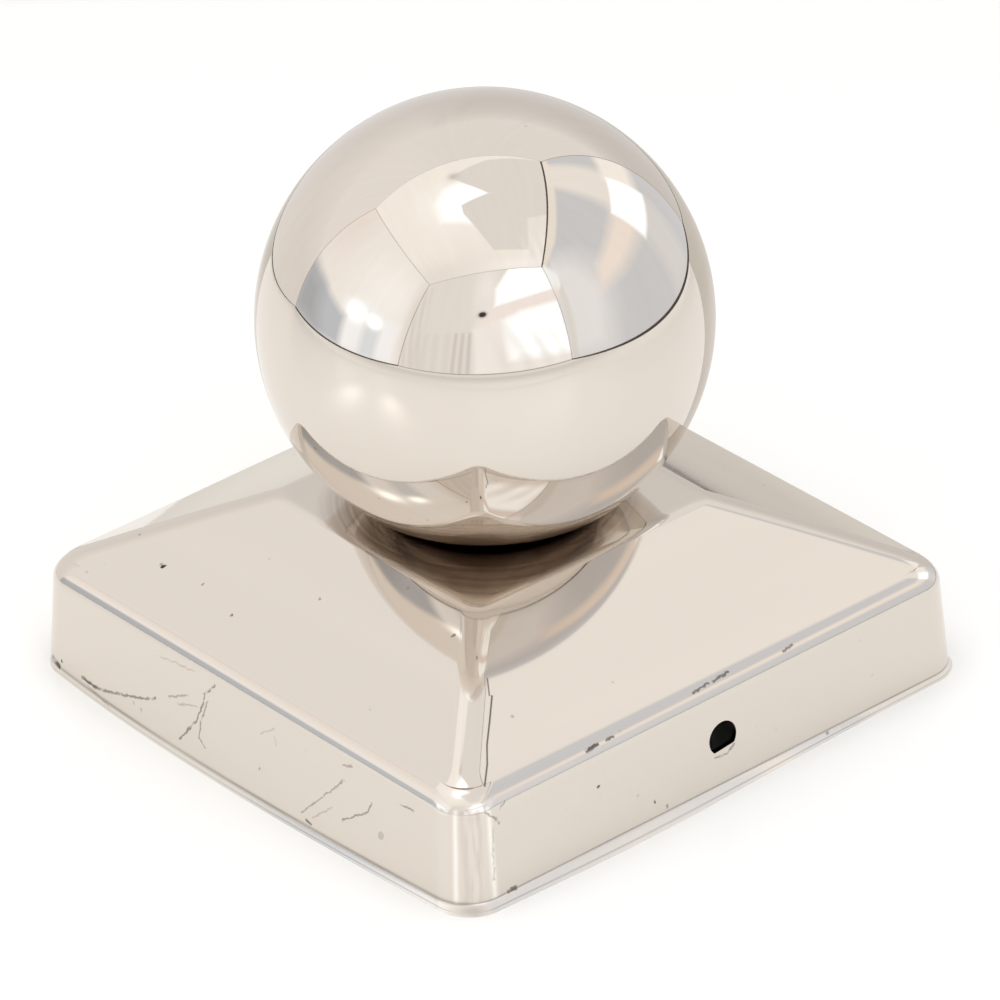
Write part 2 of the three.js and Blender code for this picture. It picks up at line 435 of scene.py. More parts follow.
crown = BALL_CENTRE + [0, 0, BALL_RADIUS]
last_ring = (BALL_ROWS - 1) * BALL_COLUMNS + np.arange(BALL_COLUMNS)
crown_faces = np.stack([
    last_ring,
    np.roll(last_ring, -1),
    np.full(BALL_COLUMNS, BALL_ROWS * BALL_COLUMNS),
], axis=-1)
ball = mesh_object("polished_ball", np.concatenate([ball_points().reshape(-1, 3), [crown]]), [
    grid_faces(BALL_ROWS, BALL_COLUMNS),
    crown_faces,
    [np.arange(BALL_COLUMNS)[::-1]],
])
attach(ball, "root")
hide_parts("ball")
print("ball:", len(ball.data.polygons), "faces")

# %% [markdown]
# ## Shader sums written as Python sums
# A Term wraps one socket of a node tree. Adding or multiplying Terms adds the Math nodes, so a mask reads
# like the formula that it is.

# %% Shader helpers


class Term:
    """A socket that carries a number, with Python's operators for the Math nodes."""

    def __init__(self, tree, socket):
        self.tree = tree
        self.socket = socket

    def math(self, operation, *others, clamp=False):
        made = self.tree.node("ShaderNodeMath", {"operation": operation, "use_clamp": clamp})
        for slot_number, value in enumerate((self, *others)):
            self.tree.feed(made.inputs[slot_number], value)
        return Term(self.tree, made.outputs[0])

    def __add__(self, other):
        return self.math("ADD", other)

    def __sub__(self, other):
        return self.math("SUBTRACT", other)

    def __rsub__(self, other):
        return self.math("MULTIPLY_ADD", -1.0, other)

    def __mul__(self, other):
        return self.math("MULTIPLY", other)

    def __truediv__(self, other):
        return self.math("DIVIDE", other)

    def __pow__(self, other):
        return self.math("POWER", other)

    def __neg__(self):
        return self.math("MULTIPLY", -1.0)

    __radd__ = __add__

    def clamped(self):
        return self.math("ADD", 0.0, clamp=True)

    def above(self, level, softness):
        """0 below the level and 1 above it, with a soft step."""
        return ((self - (level - softness / 2)) / softness).clamped()


class Tree:
    """A material's or world's node tree, emptied and ready for nodes."""

    def __init__(self, owner):
        owner.use_nodes = True
        self.tree = owner.node_tree
        self.tree.nodes.clear()

    def feed(self, socket, value):
        """Links a Term or a node's socket, or sets a plain value."""
        if isinstance(value, Term):
            self.tree.links.new(value.socket, socket)
        elif isinstance(value, bpy.types.NodeSocket):
            self.tree.links.new(value, socket)
        else:
            socket.default_value = value

    def node(self, kind, settings=None, **values):
        """Any node: its settings first, then the values or links of its sockets, by name."""
        made = self.tree.nodes.new(kind)
        for name, value in (settings or {}).items():
            setattr(made, name, value)
        for name, value in values.items():
            wanted = name.replace("_", " ")
            socket = next(s for s in made.inputs if s.name == wanted and s.enabled)
            self.feed(socket, value)
        return made

    def term(self, made, output=0):
        return Term(self, made.outputs[output])

    def place(self):
        """The shaded place in the piece's own coordinates."""
        return self.node("ShaderNodeTexCoord").outputs["Object"]

    def vector(self, operation, *values, scale=None):
        """A Vector Math node. The first output is a vector, and the second a number."""
        made = self.node("ShaderNodeVectorMath", {"operation": operation})
        for slot_number, value in enumerate(values):
            self.feed(made.inputs[slot_number], value)
        if scale is not None:
            self.feed(made.inputs["Scale"], scale)
        return made

    def mix_colours(self, factor, first, second):
        """The first colour where the factor is 0 and the second where it is 1."""
        made = self.node("ShaderNodeMix", {"data_type": "RGBA"})
        self.feed(made.inputs[0], factor)
        self.feed(made.inputs[6], first)
        self.feed(made.inputs[7], second)
        return made.outputs[2]


print("shader helpers ready")

# %% [markdown]
# ## The studio: a tent of cloth
# Polished steel is photographed inside a tent of white cloth, lit from outside, so that it has something
# calm to mirror. Here five walls and a ceiling stand around the object. Each panel is one sheet that glows by
# itself, brighter where a lamp stands behind it and darker where none does. The camera doesn't see the tent,
# which is closer than the camera is. Only the steel and the floor do.

# %% The tent's corner posts
TENT_HEIGHT = 0.75
EYE = BALL_CENTRE


def tent_place(azimuth, elevation, distance):
    """A place seen from the ball's centre: at an azimuth and elevation in degrees, and so far off level."""
    turn = math.radians(azimuth)
    rise = distance * math.tan(math.radians(elevation))
    return EYE + np.array([distance * math.cos(turn), distance * math.sin(turn), rise])


def tent_top(azimuth, distance):
    turn = math.radians(azimuth)
    return EYE + np.array([distance * math.cos(turn), distance * math.sin(turn), TENT_HEIGHT])


left_back = (tent_place(-147.5, -3.8, 0.76), tent_top(-148.8, 0.76))
left_front = (tent_place(-82.6, 1.4, 0.84), tent_top(-75.9, 0.84))
right_front = (tent_place(1.2, 1.8, 0.73), tent_top(3.3, 0.71))
right_back = (tent_place(101.0, -7.5, 0.40), tent_top(99.9, 0.535))
back_foot = tent_place(148.0, -14.5, 0.215)
back_top = 0.5 * (left_back[1] + right_back[1])

# %% [markdown]
# ## Glowing cloth
# A panel is a flat patch between four corners with its own 0 to 1 map. Its colour starts as plain cloth, and
# things are laid over it one by one, each a mask and a colour. An oval is the soft glow of a lamp behind the
# cloth. A sheet has straight soft edges, like a second layer of cloth or a dark opening. Stripes are folds.
# The values above 1 are brighter than white paper, because the steel gives back only two thirds of them.

# %% Masks on a panel


def oval(u, v, width, height, amount=1.0):
    """A bell curve of the distance from (u, v), which falls to a third at the width and height."""
    def mask(here_u, here_v):
        across = ((here_u - u) * (1 / width)) ** 2.0
        along = ((here_v - v) * (1 / height)) ** 2.0
        return (-(across + along)).math("EXPONENT") * amount
    return mask


def sheet(*corners, soft=0.03, amount=1.0):
    """1 inside the polygon, whose corners go counter-clockwise: the least distance inside any edge."""
    def mask(here_u, here_v):
        depth = None
        for (u, v), (next_u, next_v) in zip(corners, corners[1:] + corners[:1]):
            length = math.hypot(next_u - u, next_v - v)
            inwards_u, inwards_v = (v - next_v) / length, (next_u - u) / length
            inside = (here_u - u) * inwards_u + (here_v - v) * inwards_v
            depth = depth.math("MINIMUM", inside) if depth else inside
        return depth.above(0, soft) * amount
    return mask


def stripes(within, count, lean=0.0, amount=0.5):
    """Upright folds inside another mask: a sine along u, which leans by so much u on the way up."""
    def mask(here_u, here_v):
        wave = ((here_u - here_v * lean) * (2 * math.pi * count)).math("SINE")
        return within(here_u, here_v) * (wave * 0.5 + 0.5) * amount
    return mask


# %% [markdown]
# ## The six panels
# The places and colours are what the ball shows: a bright upper corner in front, a lens in its opening, grey
# curtains beside it, a softbox in the blue-grey right wall, a dark gap low on the left, and on the ceiling
# the torn edge of a second sheet. All cloth also has faint folds, drawn by a stretched noise.

# %% Panels
PANEL_CELLS = 12
FOLD_STRETCH = (22.0, 2.0)
FOLD_DEPTH = 0.10
FOLD_GREY = (0.2, 0.2, 0.2, 1.0)


def glow_material(name, cloth, layers=(), strength=1.0):
    """Cloth that glows. Each layer is a mask and the colour that it brings."""
    material = bpy.data.materials.new(name)
    tree = Tree(material)
    parts = tree.node("ShaderNodeSeparateXYZ", Vector=tree.node("ShaderNodeUVMap").outputs[0])
    u, v = tree.term(parts, 0), tree.term(parts, 1)
    colour = (*cloth, 1.0)
    for mask, layer_colour in layers:
        colour = tree.mix_colours(mask(u, v), colour, (*layer_colour, 1.0))
    if layers:
        stretched = tree.node("ShaderNodeCombineXYZ", X=u * FOLD_STRETCH[0], Y=v * FOLD_STRETCH[1])
        folds = tree.node("ShaderNodeTexNoise", Vector=stretched.outputs[0], Scale=1.0, Detail=3.0)
        colour = tree.mix_colours(tree.term(folds) * FOLD_DEPTH, colour, FOLD_GREY)
    glow = tree.node("ShaderNodeEmission", Color=colour, Strength=strength)
    tree.node("ShaderNodeOutputMaterial", Surface=glow.outputs[0])
    return material


def stage_only(piece):
    """Marks a piece of the studio, which the steel mirrors and the camera doesn't see."""
    piece.visible_camera = False
    piece.visible_shadow = False


def panel(name, corners, material):
    """A four-cornered patch: point (u, v) is the corners mixed by u along and v up."""
    u, v = np.meshgrid(np.linspace(0, 1, PANEL_CELLS), np.linspace(0, 1, PANEL_CELLS))
    u, v = u.ravel()[:, None], v.ravel()[:, None]
    low_start, low_end, high_end, high_start = (np.asarray(corner) for corner in corners)
    points = (1 - v) * ((1 - u) * low_start + u * low_end) + v * ((1 - u) * high_start + u * high_end)
    made = mesh_object(name, points, [grid_faces(PANEL_CELLS, PANEL_CELLS, around=False)], smooth=False)
    layer = made.data.uv_layers.new(name="panel")
    corner_points = np.empty(len(made.data.loops), dtype=np.int32)
    made.data.loops.foreach_get("vertex_index", corner_points)
    layer.data.foreach_set("uv", np.hstack([u, v])[corner_points].ravel())
    made.data.materials.append(material)
    stage_only(made)
    return made


PLAIN = (1.06, 1.05, 1.05)
LAMP = (1.70, 1.85, 2.00)
WINDOW = (2.60, 2.75, 2.90)
COOL_WHITE = (1.32, 1.38, 1.46)
CREAM = (1.30, 1.28, 1.26)
BLUE_GREY = (0.85, 0.89, 0.96)
GAP = (0.74, 0.80, 0.90)
DARK_GAP = (0.58, 0.62, 0.68)
SOFT_WHITE = (1.27, 1.28, 1.29)
PALE = (1.18, 1.16, 1.14)
COOL = (1.13, 1.16, 1.23)
BEIGE = (1.17, 1.13, 1.06)
OLIVE = (0.95, 0.95, 0.88)
CURTAIN = (0.86, 0.83, 0.83)
PALE_CURTAIN = (0.98, 0.96, 0.95)
SIDE_CURTAIN = (0.92, 0.89, 0.87)

panel(
    "tent_left",
    (left_front[0], left_back[0], left_back[1], left_front[1]),
    glow_material("cloth_left", (1.24, 1.23, 1.22), [
        (oval(0.30, 0.55, 0.32, 0.35), (1.34, 1.37, 1.39)),
        (oval(0.98, 0.75, 0.22, 0.35), (1.16, 1.10, 1.07)),
        (oval(0.02, 0.60, 0.06, 0.60), (1.12, 1.09, 1.07)),
        (sheet((0.06, 0.0), (0.53, 0.0), (0.57, 0.30), (0.40, 0.40), (0.09, 0.34), soft=0.10), COOL_WHITE),
        (sheet((0.24, 0.0), (0.37, 0.0), (0.37, 0.25), (0.24, 0.24), soft=0.06), (1.02, 1.11, 1.21)),
        (oval(0.47, 0.27, 0.06, 0.05), WINDOW),
        (oval(0.31, 0.27, 0.05, 0.04), WINDOW),
        (sheet((0.53, 0.0), (1.02, 0.0), (1.02, 0.34), (0.82, 0.28), (0.54, 0.25), soft=0.06), GAP),
        (sheet((0.72, 0.0), (1.02, 0.0), (1.02, 0.30), (0.80, 0.24), soft=0.16), DARK_GAP),
    ]),
)
panel(
    "tent_front",
    (right_front[0], left_front[0], left_front[1], right_front[1]),
    glow_material("cloth_front", (1.09, 1.08, 1.08), [
        (oval(0.46, 0.75, 0.09, 0.35), (1.26, 1.28, 1.29)),
        (sheet((-0.1, 0.50), (0.55, 0.30), (0.44, 0.54), (0.0, 0.70), soft=0.05), (1.27, 1.21, 1.21)),
        (sheet((0.0, 0.68), (0.41, 0.53), (0.40, 0.72), (0.29, 1.0), (0.0, 1.0), soft=0.04), LAMP),
        (sheet((0.0, 0.0), (0.52, 0.0), (0.53, 0.33), (0.40, 0.39), (0.26, 0.46), (0.0, 0.53)), SOFT_WHITE),
        (sheet((0.0, 0.08), (0.34, 0.10), (0.36, 0.38), (0.26, 0.45), (0.0, 0.52), soft=0.08), LAMP),
        (stripes(sheet((0.05, 0.0), (0.40, 0.0), (0.40, 0.3), (0.05, 0.3), soft=0.2), 9, 0.3, 0.5), PLAIN),
        (
            stripes(sheet((0.525, 0.0), (0.64, 0.0), (0.64, 0.31), (0.54, 0.31), soft=0.02), 26, 0, 0.8),
            CURTAIN,
        ),
        (stripes(sheet((0.64, 0.0), (0.92, 0.0), (0.92, 0.31), (0.64, 0.31)), 14, 0.05, 0.5), PALE_CURTAIN),
        (
            stripes(sheet((0.82, 0.0), (1.0, 0.0), (1.0, 0.9), (0.92, 0.9), soft=0.08), 16, 0.18, 0.5),
            SIDE_CURTAIN,
        ),
        (oval(0.487, 0.455, 0.018, 0.020, 2.5), (0.06, 0.05, 0.05)),
    ]),
)
panel(
    "tent_right",
    (right_back[0], right_front[0], right_front[1], right_back[1]),
    glow_material("cloth_right", BLUE_GREY, [
        (
            sheet((0.60, 0.0), (1.0, 0.0), (1.0, 0.84), (0.83, 0.84), (0.62, 0.55), (0.52, 0.30), soft=0.18),
            COOL,
        ),
        (
            sheet((0.0, 0.88), (0.33, 0.85), (0.62, 0.81), (1.0, 0.93), (1.0, 1.0), (0.0, 1.0), soft=0.05),
            BEIGE,
        ),
        (
            sheet((0.88, 0.58), (1.0, 0.58), (1.0, 1.0), (0.97, 1.0), (0.85, 0.66), soft=0.04),
            (1.30, 1.38, 1.46),
        ),
        (
            sheet(
                (0.11, 0.0), (0.24, 0.0), (0.26, 0.60), (0.26, 1.02), (0.03, 1.02), (0.08, 0.50),
                soft=0.05,
            ),
            PALE,
        ),
        (sheet((0.10, -0.05), (0.26, -0.05), (0.26, 0.19), (0.10, 0.19), soft=0.04, amount=0.6), BLUE_GREY),
        (sheet((-0.05, 0.22), (0.13, 0.22), (0.13, 0.38), (-0.05, 0.40), soft=0.05), CREAM),
        (
            sheet((0.24, 0.21), (0.42, 0.22), (0.58, 0.26), (0.52, 0.35), (0.24, 0.35), soft=0.07),
            (1.22, 1.14, 1.08),
        ),
        (sheet((0.10, 0.19), (0.25, 0.18), (0.27, 0.345), (0.115, 0.36), soft=0.02), LAMP),
        (
            sheet((0.90, 0.0), (0.98, 0.0), (0.92, 0.56), (0.86, 0.58), (0.86, 0.40), soft=0.04, amount=0.6),
            OLIVE,
        ),
        (oval(0.97, 0.60, 0.04, 0.06), (1.25, 1.12, 1.12)),
    ]),
)
panel(
    "tent_ceiling",
    (left_back[1], right_back[1], right_front[1], left_front[1]),
    glow_material("cloth_ceiling", CREAM, [
        (oval(0.10, 0.95, 0.50, 0.16), (1.15, 1.13, 1.11)),
        (oval(0.42, 0.36, 0.16, 0.18), (1.42, 1.44, 1.44)),
        (
            sheet(
                (0.46, 0.25), (0.58, 0.22), (0.70, 0.345), (0.53, 0.54), (0.38, 0.47), (0.39, 0.34),
                soft=0.08,
            ),
            LAMP,
        ),
        (
            sheet(
                (0.50, 0.155), (0.70, 0.05), (1.0, 0.0), (1.0, 0.345), (0.66, 0.345), (0.57, 0.25),
                soft=0.012,
            ),
            PLAIN,
        ),
        (
            sheet(
                (0.66, 0.345), (1.0, 0.30), (1.0, 0.83), (0.62, 0.80), (0.50, 0.47), (0.505, 0.40),
                soft=0.012,
            ),
            PLAIN,
        ),
        (oval(0.52, 0.15, 0.03, 0.03), (0.88, 0.87, 0.86)),
        (sheet((0.86, 0.55), (1.0, 0.50), (1.0, 1.0), (0.87, 1.0), soft=0.02), (1.20, 1.19, 1.20)),
        (stripes(oval(0.95, 0.85, 0.12, 0.16), 12, 0.4), (1.42, 1.42, 1.43)),
        (oval(0.80, 0.95, 0.25, 0.06), (1.36, 1.36, 1.38)),
    ]),
)
BACK_FOOT = (sheet((-0.1, -0.1), (1.1, -0.1), (1.1, 0.25), (-0.1, 0.25), soft=0.2), (0.86, 0.84, 0.83))
panel(
    "tent_back_right",
    (right_back[0], back_foot, back_top, right_back[1]),
    glow_material("cloth_back_right", PLAIN, [
        BACK_FOOT,
        (sheet((-0.5, -0.5), (0.90, -0.5), (0.90, 0.25), (-0.5, 0.25), soft=0.2), (0.81, 0.79, 0.78)),
    ]),
)
panel(
    "tent_back_left",
    (back_foot, left_back[0], left_back[1], back_top),
    glow_material("cloth_back_left", PLAIN, [
        (sheet((0.08, -0.5), (1.5, -0.5), (1.5, 1.5), (0.08, 1.5), soft=0.3), (1.11, 1.095, 1.09)),
        BACK_FOOT,
        (
            sheet((0.10, -0.5), (1.5, -0.5), (1.5, 0.35), (0.10, 0.35), soft=0.24, amount=0.6),
            (1.08, 1.05, 1.02),
        ),
    ]),
)
print("tent panels: 6")

# %% [markdown]
# ## The tent's poles
# Thin dark poles hold the cloth along its edges. Mirrored in the ball they draw the fine dark lines between
# the panels, and the one along the bottom draws the dark ring above the table.

# %% Poles
POLE_SIDES = 10


def pole(name, start, end, radius, material):
    """A thin round bar between two places: a circle carried along a straight line."""
    start, end = np.asarray(start), np.asarray(end)
    along = (end - start) / np.linalg.norm(end - start)
    side = np.cross(along, [0.3, 0.2, 0.93])
    side /= np.linalg.norm(side)
    other = np.cross(along, side)
    angle = np.linspace(0, 2 * math.pi, POLE_SIDES, endpoint=False)
    circle = radius * (np.outer(np.cos(angle), side) + np.outer(np.sin(angle), other))
    made = mesh_object(name, np.concatenate([start + circle, end + circle]), [grid_faces(2, POLE_SIDES)])
    made.data.materials.append(material)
    stage_only(made)


pole_grey = glow_material("pole_grey", (0.10, 0.09, 0.085))
seam_brown = glow_material("seam_brown", (0.45, 0.40, 0.36))
POLES = [
    ("ceiling_right", right_back[1], right_front[1], 9.0, pole_grey),
    ("ceiling_front", right_front[1], left_front[1], 2.0, seam_brown),
    ("ceiling_left", left_front[1], left_back[1], 2.5, seam_brown),
    ("ceiling_back", left_back[1], right_back[1], 1.2, seam_brown),
    ("post_left_front", *left_front, 3.5, seam_brown),
    ("post_right_front", *right_front, 2.5, seam_brown),
    ("post_left_back", *left_back, 3.0, seam_brown),
    ("post_right_back", *right_back, 2.0, seam_brown),
    ("foot_left", left_front[0], left_back[0], 4.0, pole_grey),
    ("foot_front", right_front[0], left_front[0], 2.0, seam_brown),
    ("foot_right", right_back[0], right_front[0], 3.4, pole_grey),
    ("foot_back_right", right_back[0], back_foot, 1.2, pole_grey),
    ("foot_back_left", back_foot, left_back[0], 1.2, pole_grey),
]
for pole_name, start, end, radius_mm, material in POLES:
    pole("pole_" + pole_name, start, end, radius_mm * MM, material)
print("poles:", len(POLES))

# %% [markdown]
# ## Floor and lamps
# The floor is a plain pale board with a slight gloss, which draws the walls' bright patches out into soft
# streaks. Two small pools of light lie on it in front. Behind the object it is shaded by the tent's back, and
# only the two far roof faces mirror that part. One large lamp overhead makes the board white. It is set not
# to show in glossy surfaces, so it adds no second sun to the steel.

# %% Floor, lamp and world
FLOOR_HALF = 12.0
POOL_GLOW = 0.26
SHADE = (0.75, 0.715, 0.67)
SHADE_HEIGHT = 0.001
floor_material = bpy.data.materials.new("pale_board")
floor_tree = Tree(floor_material)
floor_place = floor_tree.node("ShaderNodeSeparateXYZ", Vector=floor_tree.place())
floor_x, floor_y = floor_tree.term(floor_place, 0), floor_tree.term(floor_place, 1)
pools = oval(-0.047, -0.196, 0.020, 0.060)(floor_x, floor_y)
pools = pools + oval(0.022, -0.202, 0.019, 0.060)(floor_x, floor_y)
board = floor_tree.node(
    "ShaderNodeBsdfPrincipled",
    Base_Color=(0.81, 0.80, 0.78, 1.0),
    Roughness=0.35,
    Emission_Color=pools * POOL_GLOW,
    Emission_Strength=1.0,
)
floor_tree.node("ShaderNodeOutputMaterial", Surface=board.outputs[0])
floor = mesh_object(
    "floor",
    [[-FLOOR_HALF, -FLOOR_HALF, 0], [FLOOR_HALF, -FLOOR_HALF, 0],
     [FLOOR_HALF, FLOOR_HALF, 0], [-FLOOR_HALF, FLOOR_HALF, 0]],
    [[[0, 1, 2, 3]]],
    smooth=False,
)
floor.data.materials.append(floor_material)



def shaded_floor(name, x_range, y_range, layers):
    """A level sheet just above the floor. Its u runs along y, and its v along x."""
    (x_from, x_to), (y_from, y_to) = x_range, y_range
    places = [(x_from, y_from), (x_from, y_to), (x_to, y_to), (x_to, y_from)]
    corners = [(x, y, SHADE_HEIGHT) for x, y in places]
    made = panel(name, corners, glow_material(name, SHADE, layers))
    made.visible_diffuse = False


shaded_floor("shaded_floor_left", (-0.06, -0.40), (0.01, 0.50), [
    (oval(0.08, 0.17, 0.12, 0.16), (0.95, 0.925, 0.88)),
    (oval(0.42, 0.22, 0.05, 0.10), (0.62, 0.60, 0.58)),
])
shaded_floor("shaded_floor_right", (0.01, -0.06), (0.055, 0.50), [
    (oval(0.14, 0.45, 0.08, 0.50), (0.83, 0.79, 0.74)),
])


key = bpy.data.lights.new("overhead", "AREA")
key.shape = "DISK"
key.size = 1.6
key.energy = 12.0
key_lamp = bpy.data.objects.new("overhead", key)
key_lamp.location = (0.1, -0.1, 1.5)
key_lamp.visible_glossy = False
key_lamp.visible_camera = False
bpy.context.scene.collection.objects.link(key_lamp)

world = bpy.data.worlds.new("white_room")
world_tree = Tree(world)
sky = world_tree.node("ShaderNodeBackground", Color=(1.0, 1.0, 1.0, 1.0), Strength=1.0)
world_tree.node("ShaderNodeOutputWorld", Surface=sky.outputs[0])
bpy.context.scene.world = world
bpy.context.scene.view_settings.view_transform = "Standard"
print("floor, lamp and world ready")

# %% [markdown]
# ## Marks drawn by distance
# Polished stainless steel is a mirror with a warm tint, and what makes it real is where the mirror is broken.
# Scratches, nicks and pits are drawn as distances: each mark is a line of points on one face, in millimetres,
# and the steel is dirty where the shaded place is nearer to the line than half the mark's width. A fine
# noise moves the place about first, which frays the edges.

# %% Masks on the steel
STEEL = (0.71, 0.65, 0.585, 1.0)
DULL_STEEL = (0.50, 0.45, 0.40, 1.0)
# Painted highlights on the lip and the front corner are drawn in this bright colour.
PAINTED_HIGHLIGHT_STEEL = (0.97, 0.93, 0.87, 1.0)
# The dirt colour serves real dust and pits, and also painted shade in the lip's crease and at the corner's
# foot.
DIRT_AND_SHADE = (0.10, 0.07, 0.05, 1.0)
SCRATCH = (0.055, 0.042, 0.034, 1.0)
# The soot colour serves real pits and scratches, and also painted shade round the ball's seat.
SOOT_AND_SHADE = (0.015, 0.011, 0.008, 1.0)
MARK_SOFTNESS = 0.16
FRAYING = 0.75


def place_in_mm(tree):
    """x, y and z of the shaded place in millimetres."""
    parts = tree.node("ShaderNodeSeparateXYZ", Vector=tree.place())
    return [tree.term(parts, axis) * 1000.0 for axis in range(3)]


def noise(tree, scale, detail=2.0, stretch=(1.0, 1.0, 1.0)):
    """Noise from 0 to 1 in object coordinates: scale is the number of bumps in a metre."""
    place = tree.vector("MULTIPLY", tree.place(), stretch)
    return tree.node("ShaderNodeTexNoise", Vector=place.outputs[0], Scale=scale, Detail=detail)


def dots(tree, cells, size, softness):
    """1 in the middles of small cells, of which so many fit in a metre, and 0 between them."""
    grains = tree.node("ShaderNodeTexVoronoi", Vector=tree.place(), Scale=cells)
    return 1.0 - tree.term(grains).above(size, softness)


def bell(value, middle, width):
    """1 at the middle, and a third at the width away from it."""
    off = (value - middle) * (1 / width)
    return (-(off * off)).math("EXPONENT")


def frayed(tree, across, up, shake):
    """A flat place on a face, moved by a shake."""
    flat = tree.node("ShaderNodeCombineXYZ", X=across, Y=up)
    return tree.vector("ADD", flat.outputs[0], shake).outputs[0]


def distance_to_line(tree, flat, points):
    """Distance to a line of points, or to one point. Between points a and b the nearest place is
    a + t (b - a), with t = (p - a) . (b - a) / |b - a|^2 kept between 0 and 1."""
    if len(points) == 1:
        return tree.term(tree.vector("DISTANCE", flat, (*points[0], 0.0)), 1)
    least = None
    for (x, y), (next_x, next_y) in zip(points, points[1:]):
        run = (next_x - x, next_y - y, 0.0)
        squared = run[0] ** 2 + run[1] ** 2
        offset = tree.vector("SUBTRACT", flat, (x, y, 0.0)).outputs[0]
        along = tree.vector("DOT_PRODUCT", offset, (run[0] / squared, run[1] / squared, 0.0))
        nearest = tree.vector("SCALE", run, scale=tree.term(along, 1).clamped()).outputs[0]
        here = tree.term(tree.vector("DISTANCE", offset, nearest), 1)
        least = least.math("MINIMUM", here) if least else here
    return least


def marks(tree, flat, lines):
    """The strongest of many marks, each a width in mm, a strength and its points."""
    strongest = None
    for width, strength, *points in lines:
        near = distance_to_line(tree, flat, points)
        depth = 0.5 + width / 2 / MARK_SOFTNESS
        here = near.math("MULTIPLY_ADD", -1 / MARK_SOFTNESS, depth, clamp=True) * strength
        strongest = strongest.math("MAXIMUM", here) if strongest else here
    return strongest


# %% [markdown]
# ## Where the marks are
# The left side of the skirt carries a long chain of scratches with two legs, and a second group near the
# front corner. The right side has a few pits, nicks along its eave and scuffs beside the corner. The roof
# has single black pits, and a thin dark line beside its front hip. On the skirt a place is along the side
# and up, and on the roof it is seen from above.

# %% Lists of marks
LEFT_SKIRT_MARKS = [
    (0.45, 0.80, (-35.2, 2.3), (-31.8, 2.2)),
    (0.35, 0.60, (-31.8, 2.2), (-27.7, 3.2), (-20.5, 5.4), (-18.3, 6.4)),
    (0.30, 0.45, (-15.6, 7.8), (-11.6, 9.7)),
    (0.22, 0.33, (-13.4, 7.7), (-9.4, 8.9)),
    (0.32, 0.57, (-8.3, 11.3), (-7.2, 12.0), (-6.1, 13.6)),
    (0.32, 0.63, (-8.1, 11.4), (-8.3, 9.7), (-9.2, 7.0), (-12.3, 2.8)),
    (0.27, 0.54, (-7.4, 10.6), (-8.3, 7.0), (-8.4, 4.6), (-6.8, 3.7)),
    (0.19, 0.38, (-33.6, 1.6), (-28.4, 0.8)),
    (0.19, 0.30, (-18.2, 12.9), (-14.9, 13.4), (-10.5, 13.7)),
    (0.50, 0.30, (-23.0, 3.6)),
    (0.54, 0.30, (-21.2, 3.4)),
    (0.22, 0.51, (21.9, 11.1), (19.8, 8.7), (14.0, 2.8)),
    (0.19, 0.33, (19.8, 5.9), (16.2, 2.8)),
    (0.27, 0.57, (22.1, 5.0), (26.8, 8.1), (27.8, 10.0)),
    (0.30, 0.51, (33.6, 12.3), (36.3, 12.6)),
    (1.20, 0.25, (29.9, 5.9)),
    (0.27, 0.45, (21.4, 13.1), (23.3, 13.8)),
    (0.41, 0.68, (15.1, 2.0), (16.0, 1.9)),
    (0.19, 0.27, (4.1, 10.5), (6.9, 12.5)),
    (0.19, 0.27, (7.1, 11.3), (7.5, 10.1)),
    (0.47, 0.45, (4.7, 5.5)),
    (0.80, 0.83, (-42.7, 1.9), (-41.0, 1.4)),
    (0.54, 0.83, (-40.4, 2.5)),
]
RIGHT_SKIRT_MARKS = [
    (0.50, 0.85, (-21.8, 10.2)),
    (0.45, 0.80, (-12.0, 3.6)),
    (0.35, 0.60, (-9.9, 2.2), (-9.7, 1.6)),
    (0.30, 0.25, (-27.8, 9.2)),
    (0.40, 0.22, (-14.9, 5.8)),
    (0.30, 0.50, (-41.6, 14.6), (-40.1, 13.4), (-39.6, 12.2)),
    (0.24, 0.45, (-39.1, 14.4), (-38.3, 14.9)),
    (0.26, 0.30, (-40.6, 12.0), (-41.0, 8.7), (-41.2, 4.1)),
    (0.55, 0.70, (-39.0, 1.3), (-37.6, 1.4)),
    (0.35, 0.50, (-0.6, 5.6), (1.7, 5.4), (2.9, 6.4)),
]
ROOF_MARKS = [
    (0.75, 0.95, (-27.1, -37.9)),
    (0.35, 0.60, (-19.1, -37.2)),
    (0.45, 0.65, (-10.9, -38.9)),
    (0.35, 0.50, (-0.8, -31.1)),
    (0.55, 0.60, (22.2, -26.4)),
    (0.40, 0.80, (45.35, -22.9), (45.2, -20.6)),
    (0.30, 0.70, (45.3, -19.2), (45.2, -17.8)),
    (0.26, 0.70, (44.9, -2.8), (44.7, 0.2)),
    (0.30, 0.70, (44.7, 1.0), (44.5, 4.0)),
    (0.30, 0.60, (45.1, 13.6), (45.0, 15.6)),
]
HIP_LINES = [
    (0.16, 0.75, (31.1, -28.0), (33.3, -29.6)),
    (0.20, 0.85, (33.5, -29.3), (36.2, -32.1), (39.1, -35.2), (41.4, -37.2), (43.7, -39.7)),
]
print("marks:", len(LEFT_SKIRT_MARKS) + len(RIGHT_SKIRT_MARKS) + len(ROOF_MARKS))

# %% [markdown]
# ## Steel of the hood
# The masks come together here. A number on the sheet's points tells the duller inside from the outside.
# The lip was left as it came from the press: less polished, and made lighter by a painted sheen, with
# painted shade in the crease above it. The front corner shows painted highlights in bright upright lines,
# brown upright streaks and painted shade at its foot. Round the ball the flat top carries painted shade,
# black near the seat and brown beyond it.

# %% Hood material
SIDE_OUT = 44.0
EAVE_LINE = 15.3
ROOF_FOOT = 15.8
LIP_TOP = LIP_RISE / MM
CORNER_OUT = 85.0
CORNER_MIDDLE = (SKIRT_HALF - SKIRT_CORNER) / MM
